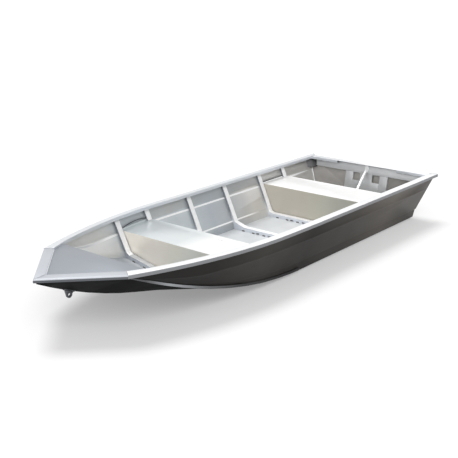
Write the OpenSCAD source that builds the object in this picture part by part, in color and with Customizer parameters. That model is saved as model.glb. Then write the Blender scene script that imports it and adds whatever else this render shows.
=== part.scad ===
// Open flat-bottomed fishing boat of welded aluminium sheet with a raised arrow-shaped bow

/* [Hull lines] */
// Length on the centreline from the transom's foot to the tip of the bow rim
hull_length = 4063; // [3000:1:5500]
// Half breadth of the flat bottom
chine_half = 567; // [400:1:750]
// Distance that each gunwale stands out past the bottom's edge
side_flare = 174; // [60:1:350]
// How much each gunwale comes in from the greatest breadth to the transom
stern_tuck = 5; // [0:1:80]
// Half breadth at the corner between the gunwale and the bow rim
kink_half = 456; // [300:1:600]
// Share of the length at that corner
kink_share = 0.8905; // [0.8:0.0005:0.95]
// Share of the length where the gunwales start to curve in toward the bow
beam_start_share = 0.5415; // [0.4:0.0005:0.7]
// Share of the length where the bottom's edges start to curve in
chine_start_share = 0.5538; // [0.4:0.0005:0.7]
// Share of the length where the bottom's edges start to rise
rise_start_share = 0.443; // [0.3:0.0005:0.55]
// Share of the length where the keel line starts to rise
keel_start_share = 0.603; // [0.5:0.0005:0.75]
// Share of the length at the middle of the boat, where the frame's origin lies
midship_share = 0.4873; // [0.4:0.0001:0.6]
// Height of the gunwale's lower edge above the bottom at the transom
stern_depth = 396; // [250:1:600]
// How much higher that edge is at the bow corner
sheer_rise = 43; // [0:1:150]
// Height of the bow rim's lower edge at its tip
stem_z = 438; // [250:1:650]
// Lean of the transom as a share of its height
rake_share = 0.207; // [0:0.001:0.4]
// Height of the lower side strake as a share of the side's height
knuckle_share = 0.205; // [0.1:0.001:0.4]
// Flare of the lower side strake as a share of the side's flare
knuckle_flare_share = 0.138; // [0.05:0.001:0.4]
// Share of the lower strake's flare that lies in the step at its top
step_share = 0.5; // [0.1:0.01:0.8]

/* [Sheets] */
// Thickness of the bottom sheet
bottom_t = 3; // [2:0.1:6]
// Thickness of the side sheets
side_t = 3; // [2:0.1:6]
// Thickness of the transom sheet
transom_t = 4; // [2:0.1:8]
// Distance of the pressed side bead's middle below the gunwale's lower edge
bead_drop = 104; // [60:1:160]
// Half height of the side bead
bead_half = 16; // [6:1:30]
// How far the side bead stands out
bead_out = 10; // [2:0.5:15]
// Greatest share of the side's height that the bead's drop may take
bead_drop_share = 0.5; // [0.2:0.01:0.7]
// Greatest share of the side's height that the bead's half height may take
bead_half_share = 0.08; // [0.02:0.01:0.15]
// Share of the side bead's half height that its flat crest takes
bead_crest_share = 0.3; // [0.1:0.01:0.8]
// Length ahead of the transom over which the side bead fades out
bead_fade = 250; // [50:1:800]
// Length of side sheet left off at the bow corner
panel_tip = 16; // [5:1:60]

/* [Gunwale and rims] */
// Width of the gunwale's top
gun_w = 64; // [30:1:90]
// Height of the gunwale's outer face
gun_h = 27; // [15:1:60]
// How much the gunwale's top falls toward its outer edge
gun_fall = 4; // [0:0.5:20]
// Height of the gunwale's inner lip
gun_lip = 27; // [6:0.5:40]
// Wall of the gunwale section
gun_t = 3; // [1.5:0.1:5]
// Distance from the gunwale's outer face to the side sheet
gun_over = 12; // [4:0.5:30]
// Length of the pointed gunwale tail behind the transom's top
gun_tail = 55; // [0:1:150]
// Half length of the gap in the transom rail's inner lip
lip_gap_half = 345; // [150:1:500]
// Share of the length at the bow deck's rear edge
deck_share = 0.8467; // [0.75:0.0001:0.87]
// Thickness of the bow deck
deck_t = 3; // [2:0.1:6]
// Distance of the bow deck below the rim's inner top edge
deck_drop = 13; // [4:0.5:20]
// Height of the fold along the bow deck's rear edge
deck_fold = 28; // [10:1:80]
// Share of the way to the rim's tip that the bow deck fills
deck_tip_share = 0.99; // [0.9:0.005:0.995]
// Height of the chine strip
strip_h = 20; // [8:1:40]
// Distance the chine strip stands out
strip_w = 9; // [3:0.5:20]
// Greatest share of the side's height that the chine strip may take
strip_share = 0.5; // [0.2:0.01:0.8]
// Distance of the chine strip's rear end ahead of where the bottom's edges start to rise
strip_lead = 60; // [0:1:400]

/* [Frames and benches] */
// Width of each frame along the boat
rib_w = 50; // [20:1:70]
// Depth of the frame's side legs
rib_d = 20; // [15:1:60]
// Height of the frame's floor beam
rib_floor_h = 36; // [15:1:60]
// Wall of the frame section
rib_t = 3; // [1.5:0.1:5]
// Height of the corner knee on the frames between the benches
knee_h = 74; // [50:1:180]
// Width of that knee
knee_w = 120; // [60:1:260]
// Height of the plain corner on the frames beside the benches
foot_h = 50; // [40:1:80]
// Width of that corner
foot_w = 48; // [40:1:80]
// Length of each drain notch in the floor beams
notch_w = 34; // [10:1:80]
// Height of each drain notch
notch_h = 13; // [5:0.5:25]
// Distance between drain notches
notch_pitch = 140; // [80:1:250]
// Number of drain notches to each side of the middle one
notch_pairs = 2; // [0:1:4]
// Depth of each bench from front to back
bench_d = 380; // [250:1:550]
// Height of the rear bench's top above the bottom
bench_z = 306; // [180:1:400]
// Height of the front bench's top above the rear one's
bench_rise = 20; // [0:1:80]
// Thickness of the bench sheet
bench_t = 3; // [2:0.1:6]
// Share of the length at the rear bench's front face
rear_bench_share = 0.1907; // [0.15:0.0001:0.3]
// Share of the length at the front bench's front face
front_bench_share = 0.6613; // [0.6:0.0001:0.7]
// Distance of a frame's middle ahead of a bench's front face
rib_ahead = 30; // [25:1:80]
// Distance of a frame's middle ahead of a bench's rear face
rib_inset = 32; // [25:1:80]
// Height of the bench's end flanges
flange_h = 16; // [8:1:50]
// Clearance round a frame where it passes a bench top
rib_gap = 0.5; // [0.1:0.1:3]

/* [Transom fittings] */
// Half distance between the outer faces of the transom posts
post_outer = 245; // [150:1:400]
// Width of each transom post
post_w = 90; // [40:1:150]
// Depth of the posts ahead of the transom sheet
post_d = 18; // [10:1:60]
// Height of the motor board's foot above the bottom
board_foot = 120; // [40:1:220]
// Thickness of the motor board
board_t = 4; // [2:0.5:30]
// Width of each window in the motor board
window_w = 84; // [40:1:120]
// Height of each window
window_h = 76; // [40:1:120]
// Height of the windows' lower edge above the bottom
window_z = 258; // [150:1:320]
// Height of the beam across the posts
beam_h = 70; // [30:1:120]
// Wall of that beam
beam_t = 4; // [2:0.5:12]
// Clearance between the beam's ends and the stern knees
beam_gap = 2; // [0.5:0.5:10]
// Width and depth of the transom brace
brace_w = 20; // [10:1:40]
// Slope of the brace in degrees
brace_slope = 46; // [30:1:60]
// Length of the plates at the brace's ends
brace_plate = 70; // [40:1:120]
// Thickness of those plates
brace_plate_t = 5; // [2:0.5:10]
// Width of the clamp pad on the transom's rear face
pad_w = 340; // [200:1:500]
// Height of the clamp pad
pad_h = 250; // [150:1:350]
// Thickness of the clamp pad
pad_t = 8; // [4:1:30]
// Leg length of the stern knees
knee_leg = 78; // [30:1:200]
// Height of the stern knees
knee_block_h = 78; // [30:1:150]
// Radius of the drain bush's bore
drain_r = 12.5; // [8:0.5:20]
// Wall of the drain bush
drain_wall = 3; // [2:0.5:6]
// Width of the drain bush's flange
drain_flange = 9; // [4:0.5:20]
// Thickness of that flange
drain_flange_t = 3; // [2:0.5:6]
// Height of the drain above the bottom
drain_z = 34; // [25:1:80]

/* [Bow eye and runners] */
// Radius of the eye's bore
eye_r = 11; // [6:0.5:20]
// Radius of the eye's outside
eye_outer = 25; // [14:0.5:40]
// Thickness of the eye
eye_t = 14; // [6:0.5:30]
// Distance of the bore below the keel line
eye_drop = 30; // [15:0.5:60]
// Half length of the eye's foot
eye_foot = 36; // [15:1:80]
// Length of the eye's pad as a share of the bow plate's step that it lies on
eye_pad_len_share = 0.88; // [0.5:0.01:0.98]
// Reach of the pad to each side, as a share of the bow plate's half breadth
eye_pad_share = 0.09; // [0.03:0.01:0.3]
// Thickness of the eye's pad
eye_pad_t = 5; // [2:0.5:10]
// Height of the bottom runners
runner_h = 14; // [5:1:40]
// Width of the runners at the bottom sheet
runner_w = 64; // [30:1:120]
// Width of the runners at their underside
runner_foot = 40; // [15:1:100]
// Distance of the side runners from the centreline
runner_y = 340; // [150:1:450]
// Distance of the runners' rear ends from the transom
runner_start = 70; // [0:1:300]
// Distance of the runners' front ends behind where the bottom starts to rise
runner_margin = 25; // [0:1:200]

/* [Hidden] */
$fn = 48;
// Extra length of cuts past the faces they open
overrun = 2;
// Part that is drawn

// Colours of the finishes
sheet_c = [0.72, 0.74, 0.76];
side_c = [0.55, 0.56, 0.58];
rim_c = [0.9, 0.91, 0.92];
bench_c = [0.86, 0.86, 0.85];
dark_c = [0.12, 0.12, 0.13];
steel_c = [0.66, 0.67, 0.69];

// Places along the hull, counted from the stern
half_beam = chine_half + side_flare;
kink_x = hull_length * kink_share;
beam_start = hull_length * beam_start_share;
chine_start = hull_length * chine_start_share;
rise_start = hull_length * rise_start_share;
keel_start = hull_length * keel_start_share;
midship = hull_length * midship_share;
strip_start = rise_start + strip_lead;
deck_back = hull_length * deck_share;
rear_bench_x = hull_length * rear_bench_share;
front_bench_x = hull_length * front_bench_share;

// Places of the benches and of the frames
rear_back = rear_bench_x - bench_d;
front_back = front_bench_x - bench_d;
rib_e = rear_bench_x + rib_ahead;
rib_b = front_back + rib_inset;
mid_shares = [0.3375, 0.6567];
rib_x = [rear_back + rib_inset, rib_e, lerp(rib_e, rib_b, mid_shares[0]), lerp(rib_e, rib_b, mid_shares[1]),
    rib_b, front_bench_x + rib_ahead];
rib_a = rib_x[len(rib_x) - 1];
// Frames that have corner knees
knee_frames = [2, 3];

// Bow corner: angle of the gunwale and of the rim, and the mitre between them
gun_angle = atan(2 * (half_beam - kink_half) / (kink_x - beam_start));
arm_angle = atan2(kink_half, hull_length - kink_x);
mitre_tan = tan((gun_angle + arm_angle) / 2);
chine_x = mitre_x(gun_over);
chine_end = mitre_y(gun_over);
rim_z = stern_depth + sheer_rise;
rake_angle = atan(rake_share);

// Stations: marks along the hull and the number of equal steps after each
marks = [0, bead_fade, rise_start, front_back, rib_b - rib_w / 2, rib_b + rib_w / 2, front_bench_x,
    rib_a - rib_w / 2, rib_a + rib_w / 2, deck_back, chine_x - panel_tip, chine_x];
steps = [1, 1, 3, 1, 1, 2, 1, 1, 5, 1, 1];
stations = concat([for (i = [0 : len(steps) - 1]) for (j = [0 : steps[i] - 1])
    lerp(marks[i], marks[i + 1], j / steps[i])], [chine_x]);
panel_stations = [for (x = stations) if (x < chine_x) x];
bow_shares = [0.25, 0.5, 0.75, 0.985];

function lerp(a, b, s) = a + (b - a) * s;
function ease(x, a, b) = pow(max(0, (x - a) / (b - a)), 2);
function mitre_x(e) = kink_x - mitre_tan * e;
function mitre_y(e) = kink_half - e;
function arm_end(e) = mitre_x(e) + mitre_y(e) / tan(arm_angle);

// Hull lines at the stations, straight between them
gun_table = [for (x = concat(stations, [kink_x])) [x, half_beam - (half_beam - kink_half)
    * ease(x, beam_start, kink_x) - stern_tuck * ease(-x, -beam_start, 0)]];
sheer_table = [for (x = concat(stations, [kink_x])) [x, stern_depth + sheer_rise * ease(x, 0, kink_x)]];
chine_table = [for (x = stations)
    [x, chine_half - (chine_half - chine_end) * ease(x, chine_start, chine_x)]];
rise_table = [for (x = stations) [x, (rim_z - bottom_t) * ease(x, rise_start, chine_x)]];
bow_edge = [for (s = bow_shares) [lerp(chine_x, arm_end(gun_over), s), lerp(chine_end, 0, s),
    lerp(rim_z, stem_z, s) - bottom_t]];
keel_table = [for (x = concat(stations, [for (p = bow_edge) p[0]]))
    [x, stem_z * ease(x, keel_start, hull_length)]];
function gun_y(x) = lookup(x, gun_table);
function gun_z(x) = lookup(x, sheer_table);
function chine_y(x) = lookup(x, chine_table);
function chine_z(x) = lookup(x, rise_table);
function keel_z(x) = lookup(x, keel_table);
function panel_y(x) = gun_y(x) - gun_over;
function side_h(x) = gun_z(x) - chine_z(x);
function knuckle_z(x) = chine_z(x) + side_h(x) * knuckle_share;
function knuckle_y(x) = lerp(chine_y(x), panel_y(x), knuckle_flare_share);

// Corners of the side sheet's outer face from the chine up, as breadth and height
function step_out(x) = (knuckle_y(x) - chine_y(x)) * step_share;
function side_corners(x) = [
    [chine_y(x), chine_z(x)],
    [knuckle_y(x) - step_out(x), knuckle_z(x) - step_out(x)],
    [knuckle_y(x), knuckle_z(x)],
    [panel_y(x), gun_z(x)]];

// Outer face of the side sheet at a height, and the top of the bottom sheet at a breadth
function side_y(x, z) = lookup(z, [for (p = side_corners(x)) [p[1], p[0]]]);
function inner_y(x, z) = side_y(x, z) - side_t;
function floor_z(x, y) = lerp(keel_z(x), chine_z(x), y / chine_y(x)) + bottom_t;

// Underside of the gunwale's top at a distance from its outer face
function gun_top(e) = gun_h + gun_fall * e / gun_w;
function gun_under(e) = gun_top(e) - gun_t;

// Section of the side sheet from its foot to the gunwale, as breadth and height
function bead_z(x) = gun_z(x) - min(bead_drop, side_h(x) * bead_drop_share);
function bead_r(x) = min(bead_half, side_h(x) * bead_half_share);
function bead_rise(x) = x > 0 ? bead_out * bead_r(x) / bead_half : 0;
function bead_point(x, dz, out_share) = [
    side_y(x, bead_z(x) + dz) + bead_rise(x) * out_share,
    bead_z(x) + dz];
function side_section(x, inset) = [
    [chine_y(x) - inset, floor_z(x, chine_y(x) - inset)],
    side_corners(x)[1] - [inset, 0],
    side_corners(x)[2] - [inset, 0],
    bead_point(x, -bead_r(x), 0) - [inset, 0],
    bead_point(x, -bead_r(x) * bead_crest_share, 1) - [inset, 0],
    bead_point(x, bead_r(x) * bead_crest_share, 1) - [inset, 0],
    bead_point(x, bead_r(x), 0) - [inset, 0],
    [panel_y(x) - inset, gun_z(x)],
    [panel_y(x) - inset, gun_z(x) + gun_under(gun_over + inset)]];
function raked(x, z) = x > 0 ? x : -rake_share * z;
function side_rows(inset) = [for (x = panel_stations)
    [for (p = side_section(x, inset)) [raked(x, p[1]), p[0], p[1]]]];

// Sections of the gunwale as inward distance and height, outside and inside
gun_outside = [[0, 0], [0, gun_h], [gun_w, gun_top(gun_w)], [gun_w, gun_top(gun_w) - gun_lip]];
gun_inside = [[gun_t, 0], [gun_t, gun_under(gun_t)], [gun_w - gun_t, gun_under(gun_w - gun_t)],
    [gun_w - gun_t, gun_top(gun_w) - gun_lip]];
cap_z = gun_z(0) + gun_top(gun_w);
cap_x = -rake_share * (cap_z - gun_t);
gun_rear = cap_x - gun_over - gun_tail;

// Everything is placed from the transom's foot with the runners on the ground
module at_stern() {
    translate([-midship, 0, runner_h])
        children();
}

// Flat shape of breadth and height, given a thickness along the boat from a station
module across(x, thick) {
    translate([x, 0, 0])
        rotate([90, 0, 90])
            linear_extrude(thick)
                children();
}

// Flat shape of breadth and height in the transom's leaning plane, ahead of its front face
module on_transom(ahead, thick) {
    rotate([0, -rake_angle, 0])
        across(ahead, thick)
            children();
}

// Closed sheet between two grids of points with the same rows and columns, split evenly to both sides
function split(q, turned) = turned
    ? [[q[0], q[1], q[3]], [q[1], q[2], q[3]]]
    : [[q[0], q[1], q[2]], [q[0], q[2], q[3]]];
module shell(outer, inner) {
    rows = len(outer);
    cols = len(outer[0]);
    half = rows * cols;
    last = half - cols;
    faces = [for (i = [0 : rows - 2]) for (j = [0 : cols - 2])
        let (a = i * cols + j, turned = j * 2 < cols - 2) each concat(
        split([a, a + cols, a + cols + 1, a + 1], turned),
        split([half + a, half + a + 1, half + a + cols + 1, half + a + cols], turned))];
    sides = [for (i = [0 : rows - 2]) let (a = i * cols, b = a + cols - 1) each concat(
        split([a, half + a, half + a + cols, a + cols], false),
        split([b, b + cols, half + b + cols, half + b], false))];
    ends = [for (j = [0 : cols - 2]) each concat(
        split([j, j + 1, half + j + 1, half + j], false),
        split([last + j, half + last + j, half + last + j + 1, last + j + 1], false))];
    polyhedron(
        points = concat([for (r = outer) each r], [for (r = inner) each r]),
        faces = concat(faces, sides, ends));
}

module port() {
    at_stern()
        children();
}

module starboard() {
    at_stern()
        mirror([0, 1, 0])
            children();
}

// Bottom sheet: flat behind, with a keel line and edges that sweep up to the bow rim
bottom_rows = concat(
    [for (x = stations) [[x, -chine_y(x), chine_z(x)], [x, 0, keel_z(x)], [x, chine_y(x), chine_z(x)]]],
    [for (p = bow_edge) [[p[0], -p[1], p[2]], [p[0], 0, keel_z(p[0])], [p[0], p[1], p[2]]]]);
module bottom_plate() {
    color(sheet_c)
        at_stern()
            shell(bottom_rows, [for (r = bottom_rows) [for (p = r)
                [raked(p[0], bottom_t), p[1], p[2] + bottom_t]]]);
}

module side_panel() {
    color(side_c)
        shell(side_rows(0), side_rows(side_t));
}

module side_panel_port() {
    port()
        side_panel();
}

module side_panel_starboard() {
    starboard()
        side_panel();
}

// Half outline of the transom sheet in its own plane
slope_len = 1 / cos(rake_angle);
lip_z = gun_z(0) + gun_top(gun_w) - gun_lip;
transom_half = [
    each side_corners(0),
    [panel_y(0), gun_z(0) + gun_under(gun_over)],
    [gun_y(0) - gun_w + gun_t, gun_z(0) + gun_under(gun_w - gun_t)],
    [gun_y(0) - gun_w + gun_t, lip_z],
    [gun_y(0) - gun_w, lip_z],
    [gun_y(0) - gun_w, cap_z - gun_t]];
function flip_list(list) = [for (i = [len(list) - 1 : -1 : 0]) list[i]];
function both_ways(half_points) = concat(half_points, [for (p = flip_list(half_points)) [-p[0], p[1]]]);
module transom_plate() {
    color(side_c)
        at_stern()
            difference() {
                on_transom(-transom_t, transom_t)
                    polygon([for (p = both_ways(transom_half)) [p[0], p[1] * slope_len]]);
                on_transom(-transom_t - overrun, transom_t + overrun * 2)
                    translate([0, drain_z])
                        circle(drain_r + drain_wall);
            }
}

// Gunwale: an inverted channel over the side sheet's top, mitred at the bow corner
function gun_row(x, section) = [for (p = section) [x, gun_y(x) - p[0], gun_z(x) + p[1]]];
function gun_mitre(section) = [for (p = section) [mitre_x(p[0]), mitre_y(p[0]), rim_z + p[1]]];
function gun_end(section) = [for (p = section)
    [gun_rear + gun_tail * p[0] / gun_w, gun_y(gun_rear) - p[0], gun_z(gun_rear) + p[1]]];
function gun_rows(section) = concat([gun_end(section)],
    [for (x = panel_stations) if (x < mitre_x(gun_w)) gun_row(x, section)], [gun_mitre(section)]);
module gunwale() {
    color(rim_c)
        shell(gun_rows(gun_outside), gun_rows(gun_inside));
}

module gunwale_port() {
    port()
        gunwale();
}

module gunwale_starboard() {
    starboard()
        gunwale();
}

// Bow rim arm from the corner to the centreline
function arm_rows(section) = [gun_mitre(section),
    [for (p = section) [arm_end(p[0]), 0, stem_z + p[1]]]];
module bow_rim() {
    color(rim_c)
        shell(arm_rows(gun_outside), arm_rows(gun_inside));
}

module bow_rim_port() {
    port()
        bow_rim();
}

module bow_rim_starboard() {
    starboard()
        bow_rim();
}

// Upstand that carries the bow rim on the swept-up bottom sheet
function arm_point(s, e, rise) = [lerp(mitre_x(e), arm_end(e), s), lerp(mitre_y(e), 0, s),
    lerp(rim_z, stem_z, s) + rise];
function coaming_row(s, e) = [for (rise = [0, gun_under(e)]) arm_point(s, e, rise)];
module bow_coaming() {
    color(sheet_c)
        shell([for (s = concat([0], bow_shares)) coaming_row(s, gun_over)],
            [for (s = concat([0], bow_shares)) coaming_row(s, gun_over + side_t)]);
}

module bow_coaming_port() {
    port()
        bow_coaming();
}

module bow_coaming_starboard() {
    starboard()
        bow_coaming();
}

// Flat deck inside the bow rim, folded down along its rear edge
deck_rise = gun_top(gun_w) - deck_drop;
deck_edge = concat(
    [for (x = panel_stations) if (x >= deck_back && x < mitre_x(gun_w))
        [x, gun_y(x) - gun_w, gun_z(x) + deck_rise]],
    [for (s = [0, deck_tip_share]) arm_point(s, gun_w, deck_rise)]);
function deck_rows(drop) = [for (p = deck_edge)
    [for (side = [-1, 0, 1]) [p[0], p[1] * side, p[2] - drop]]];
module bow_deck() {
    color(sheet_c)
        at_stern() {
            shell(deck_rows(deck_t), deck_rows(0));
            across(deck_back, deck_t)
                polygon(both_ways([for (drop = [deck_fold, 0])
                    [gun_y(deck_back + deck_t) - gun_w, gun_z(deck_back) + deck_rise - drop]]));
        }
}

// Rail over the transom's top, between the gunwales, with a gap in its inner lip
cap_half = gun_y(0) - gun_w;
cap_section = [
    [-gun_over, cap_z - gun_h], [-gun_over, cap_z], [gun_w - gun_over, cap_z],
    [gun_w - gun_over, cap_z - gun_lip], [gun_w - gun_over - gun_t, cap_z - gun_lip],
    [gun_w - gun_over - gun_t, cap_z - gun_t], [gun_t - gun_over, cap_z - gun_t],
    [gun_t - gun_over, cap_z - gun_h]];
lip_x = cap_x + gun_w - gun_over - gun_t;
module transom_cap() {
    color(rim_c)
        at_stern()
            difference() {
                translate([cap_x, cap_half, 0])
                    rotate([90, 0, 0])
                        linear_extrude(cap_half * 2)
                            polygon(cap_section);
                translate([lip_x - overrun, -lip_gap_half, cap_z - gun_lip - overrun])
                    cube([gun_t + overrun * 2, lip_gap_half * 2, gun_lip - gun_t + overrun]);
            }
}

// Light strip along the chine's front part
strip_stations = concat([strip_start], [for (x = panel_stations) if (x > strip_start) x]);
function strip_top(x) = chine_z(x) + bottom_t + min(strip_h, side_h(x) * strip_share);
function strip_row(x, out) = [[x, side_y(x, chine_z(x) + bottom_t) + out, chine_z(x) + bottom_t],
    [x, side_y(x, strip_top(x)) + out / 2, strip_top(x)]];
module chine_strip() {
    color(rim_c)
        shell([for (x = strip_stations) strip_row(x, strip_w)], [for (x = strip_stations) strip_row(x, 0)]);
}

module chine_strip_port() {
    port()
        chine_strip();
}

module chine_strip_starboard() {
    starboard()
        chine_strip();
}

// Frame: a channel down both sides, across the corners and over the floor
rib_top = gun_top(gun_w) - gun_lip;
function floor_corner(x) = [inner_y(x, chine_z(x)), floor_z(x, inner_y(x, chine_z(x)))];
function strake_corners(x) = [for (i = [1, 2]) side_corners(x)[i] - [side_t, 0]];
function rib_hull(x) = [
    [0, floor_z(x, 0)],
    floor_corner(x),
    each strake_corners(x),
    [inner_y(x, gun_z(x)), gun_z(x)],
    [inner_y(x, gun_z(x)), gun_z(x) + rib_top]];
function has_knee(n) = len([for (k = knee_frames) if (k == n) k]) > 0;
function corner_h(n) = has_knee(n) ? knee_h : foot_h;
function corner_w(n) = has_knee(n) ? knee_w : foot_w;
function rib_web(x, n, in) = [
    [inner_y(x, gun_z(x)) - rib_d + in, gun_z(x) + rib_top],
    [inner_y(x, gun_z(x)) - rib_d + in, gun_z(x)],
    [inner_y(x, chine_z(x) + corner_h(n)) - rib_d + in, chine_z(x) + corner_h(n) - in / 2],
    [chine_y(x) - corner_w(n) + in / 2, floor_z(x, chine_y(x) - corner_w(n)) + rib_floor_h - in],
    [0, floor_z(x, 0) + rib_floor_h - in]];
module rib_leg(x, web) {
    across(x - rib_t, rib_t)
        difference() {
            polygon(concat(both_ways(flip_list(rib_hull(x))), both_ways(web) * [[-1, 0], [0, 1]]));
            for (i = [-notch_pairs : notch_pairs])
                translate([i * notch_pitch - notch_w / 2, floor_z(x, abs(i) * notch_pitch) - overrun])
                    square([notch_w, notch_h + overrun]);
        }
}

module rib_frame(n) {
    rear = rib_x[n] - rib_w / 2;
    front = rib_x[n] + rib_w / 2;
    color(sheet_c)
        at_stern() {
            for (x = [rear + rib_t, front])
                rib_leg(x, rib_web(front, n, 0));
            across(rear, rib_w)
                polygon(concat(
                    both_ways(rib_web(front, n, 0)),
                    flip_list(both_ways(rib_web(front, n, rib_t)))));
        }
}

module frame_1() {
    rib_frame(0);
}

module frame_2() {
    rib_frame(1);
}

module frame_3() {
    rib_frame(2);
}

module frame_4() {
    rib_frame(3);
}

module frame_5() {
    rib_frame(4);
}

module frame_6() {
    rib_frame(5);
}

// Bench: a top with front and rear faces down to the floor and flanges along the sides
module bench_face(x, top) {
    across(x - bench_t, bench_t)
        polygon(both_ways([
            [0, floor_z(x, 0)],
            floor_corner(x),
            each strake_corners(x),
            [inner_y(x, top), top]]));
}

module bench_top_shape(xs, z, inset) {
    polygon(concat(
        [for (x = xs) [x, inner_y(x, z) - inset]],
        [for (x = flip_list(xs)) [x, inset - inner_y(x, z)]]));
}

bench_shares = [0, 0.25, 0.5, 0.75, 1];
module bench(front, rib, z) {
    back = front - bench_d;
    xs = [for (s = bench_shares) lerp(back, front, s)];
    past = concat([back - overrun], xs, [front + overrun]);
    under = z - bench_t;
    rib_y = inner_y(rib, under) - rib_d - rib_t - rib_gap;
    color(bench_c)
        at_stern() {
            for (x = [front, back + bench_t])
                bench_face(x, under);
            difference() {
                union() {
                    translate([0, 0, under])
                        linear_extrude(bench_t)
                            bench_top_shape(xs, under, 0);
                    translate([0, 0, under])
                        linear_extrude(flange_h)
                            difference() {
                                bench_top_shape(xs, under, 0);
                                bench_top_shape(past, under, bench_t);
                            }
                }
                for (side = [0, 1])
                    mirror([0, side, 0])
                        translate([rib - rib_w / 2 - rib_gap, rib_y, under - overrun])
                            cube([rib_w + rib_gap * 2, rib_d * 2, flange_h + overrun * 2]);
            }
        }
}

module front_bench() {
    bench(front_bench_x, rib_b, bench_z + bench_rise);
}

module rear_bench() {
    bench(rear_bench_x, rib_x[0], bench_z);
}

// Posts against the transom's inside
post_top = (cap_z - gun_lip) * slope_len;
module transom_posts() {
    color(sheet_c)
        at_stern()
            for (side = [0, 1])
                mirror([0, side, 0]) {
                    on_transom(post_d - rib_t, rib_t)
                        translate([post_outer - post_w, board_foot])
                            square([post_w, post_top - board_foot]);
                    for (y = [post_outer - post_w, post_outer - rib_t])
                        on_transom(0, post_d)
                            translate([y, board_foot])
                                square([rib_t, post_top - board_foot]);
                }
}

// Motor board between the posts with two windows, and the beam across the transom above it
board_half = post_outer - post_w;
beam_foot = post_top - beam_h;
beam_front = post_d + beam_t;
beam_half = inner_y(0, beam_foot / slope_len) - knee_leg - beam_gap;
beam_mid_top = (cap_z - gun_t - beam_front * sin(rake_angle)) * slope_len;
module motor_board() {
    color(sheet_c)
        at_stern() {
            on_transom(post_d - board_t, board_t)
                difference() {
                    translate([-board_half, board_foot])
                        square([board_half * 2, post_top - board_foot]);
                    for (side = [0, 1])
                        mirror([side, 0])
                            translate([board_half - window_w, window_z])
                                square([window_w, window_h]);
                }
            on_transom(post_d, beam_t)
                union() {
                    translate([-beam_half, beam_foot])
                        square([beam_half * 2, beam_h]);
                    translate([-lip_gap_half, beam_foot])
                        square([lip_gap_half * 2, beam_mid_top - beam_foot]);
                }
            for (side = [0, 1])
                mirror([0, side, 0])
                    on_transom(0, post_d)
                        translate([post_outer, beam_foot])
                            square([beam_half - post_outer, beam_t]);
        }
}

// Brace on the centreline from the beam down to the floor
brace_top_z = cap_z - gun_t - brace_plate_t * 2 - brace_plate / 2;
brace_top_x = -rake_share * brace_top_z + beam_front * slope_len;
brace_run = (brace_top_z - bottom_t) / tan(brace_slope);
brace_len = (brace_top_z - bottom_t) / sin(brace_slope);
module transom_brace() {
    color(rim_c)
        at_stern() {
            difference() {
                translate([brace_top_x, -brace_w / 2, brace_top_z])
                    rotate([0, brace_slope, 0])
                        translate([-brace_w, 0, -brace_w / 2])
                            cube([brace_len + brace_w * 2, brace_w, brace_w]);
                translate([brace_top_x, -brace_w, bottom_t - brace_w * 2])
                    cube([brace_run * 2, brace_w * 2, brace_w * 2]);
                on_transom(beam_front - brace_w * 2, brace_w * 2)
                    translate([-brace_w, 0])
                        square([brace_w * 2, cap_z * 2]);
            }
            translate([brace_top_x + brace_run - brace_plate / 2, -brace_plate / 2, bottom_t])
                cube([brace_plate, brace_plate, brace_plate_t]);
            on_transom(beam_front, brace_plate_t)
                translate([-brace_w, brace_top_z * slope_len - brace_plate / 2])
                    square([brace_w * 2, brace_plate]);
        }
}

// Clamp pad on the transom's rear face
module clamp_pad() {
    color(dark_c)
        at_stern()
            on_transom(-transom_t - pad_t, pad_t)
                translate([-pad_w / 2, (cap_z - gun_h) * slope_len - pad_h])
                    square([pad_w, pad_h]);
}

// Three-cornered knee in each stern corner under the gunwale
function knee_corners(z) = [for (leg = [[0, 0], [knee_leg, 0], [0, -knee_leg]])
    [leg[0] - rake_share * z, inner_y(0, z) + leg[1], z]];
module stern_knee() {
    color(dark_c)
        polyhedron(
            points = concat(knee_corners(gun_z(0) - knee_block_h), knee_corners(gun_z(0))),
            faces = [[0, 1, 2], [5, 4, 3], [0, 3, 4], [0, 4, 1],
                [1, 4, 5], [1, 5, 2], [2, 5, 3], [2, 3, 0]]);
}

module stern_knee_port() {
    port()
        stern_knee();
}

module stern_knee_starboard() {
    starboard()
        stern_knee();
}

// Bow eye on a folded pad under the keel line
pad_edge = bow_edge[1];
eye_x = (bow_edge[0][0] + bow_edge[1][0]) / 2;
eye_pad = (bow_edge[1][0] - bow_edge[0][0]) / 2 * eye_pad_len_share;
pad_rise = pad_edge[2] - keel_z(pad_edge[0]);
eye_z = keel_z(eye_x) - eye_drop;
pad_top = [for (x = [eye_x - eye_pad, eye_x + eye_pad]) [for (s = [-eye_pad_share, 0, eye_pad_share])
    [x, s * pad_edge[1], keel_z(x) + abs(s) * pad_rise]]];
module bow_eye() {
    color(steel_c)
        at_stern() {
            shell([for (r = pad_top) [for (p = r) p - [0, 0, eye_pad_t]]], pad_top);
            translate([0, eye_t / 2, 0])
                rotate([90, 0, 0])
                    linear_extrude(eye_t)
                        difference() {
                            union() {
                                translate([eye_x, eye_z])
                                    circle(eye_outer);
                                polygon([[eye_x - eye_outer, eye_z], [eye_x + eye_outer, eye_z],
                                    [eye_x + eye_foot, keel_z(eye_x + eye_foot) - eye_pad_t / 2],
                                    [eye_x - eye_foot, keel_z(eye_x - eye_foot) - eye_pad_t / 2]]);
                            }
                            translate([eye_x, eye_z])
                                circle(eye_r);
                        }
        }
}

// Runners under the bottom sheet
module runner(y, end) {
    color(sheet_c)
        at_stern()
            translate([0, y, 0])
                across(runner_start, end - runner_start)
                    polygon(both_ways([[runner_w / 2, 0], [runner_foot / 2, -runner_h]]));
}

module runner_centre() {
    runner(0, keel_start - runner_margin);
}

module runner_port() {
    runner(runner_y, rise_start - runner_margin);
}

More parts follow.
